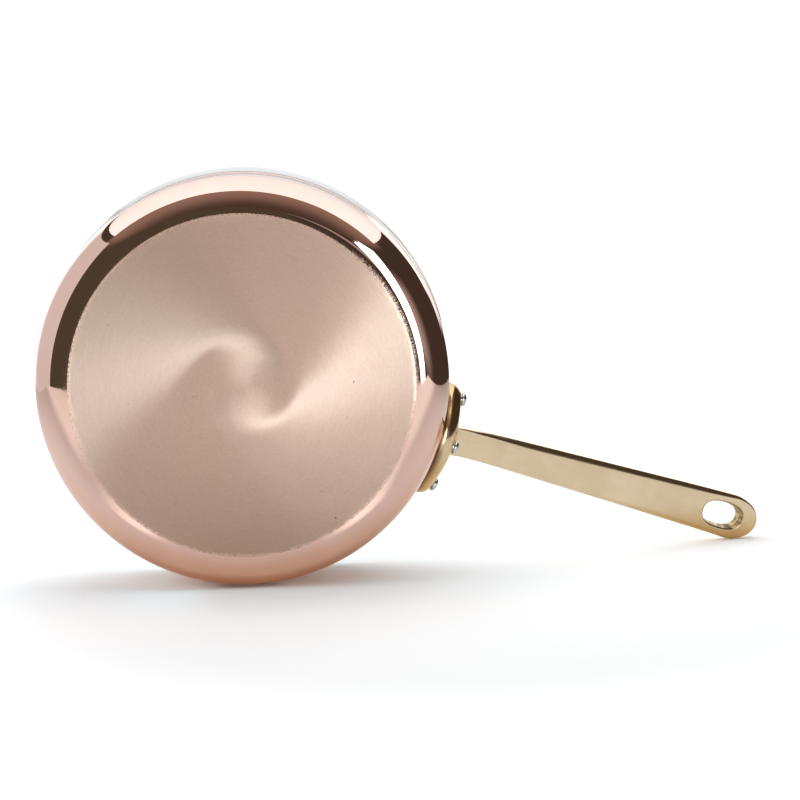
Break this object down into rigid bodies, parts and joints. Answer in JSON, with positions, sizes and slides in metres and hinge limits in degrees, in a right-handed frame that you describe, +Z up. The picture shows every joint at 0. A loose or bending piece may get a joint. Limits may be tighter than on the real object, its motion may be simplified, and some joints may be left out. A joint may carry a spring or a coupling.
{
  "type": "saute pan",
  "caption": "Straight-sided copper saute pan with a steel lining and flared steel rim, and a riveted cast brass handle with a hanging slot.",
  "frame": {"origin": "centre of the flat underside of the base", "axes": "+Z up along the pan's axis towards the open rim, +X along the handle, +Y across"},
  "size_m": [0.4706, 0.246, 0.1145],
  "materials": {
    "copper": "mirror-polished copper wall and corner, circular-brushed copper base",
    "steel": "satin stainless steel, turned grain",
    "brass": "polished cast brass",
    "rivet_steel": "polished stainless steel"
  },
  "bodies": {
    "root": {"copper_body": "copper", "steel_lining": "steel", "handle": "brass", "rivet_left": "rivet_steel", "rivet_right": "rivet_steel", "rivet_lower": "rivet_steel"}
  },
  "joints": []
}
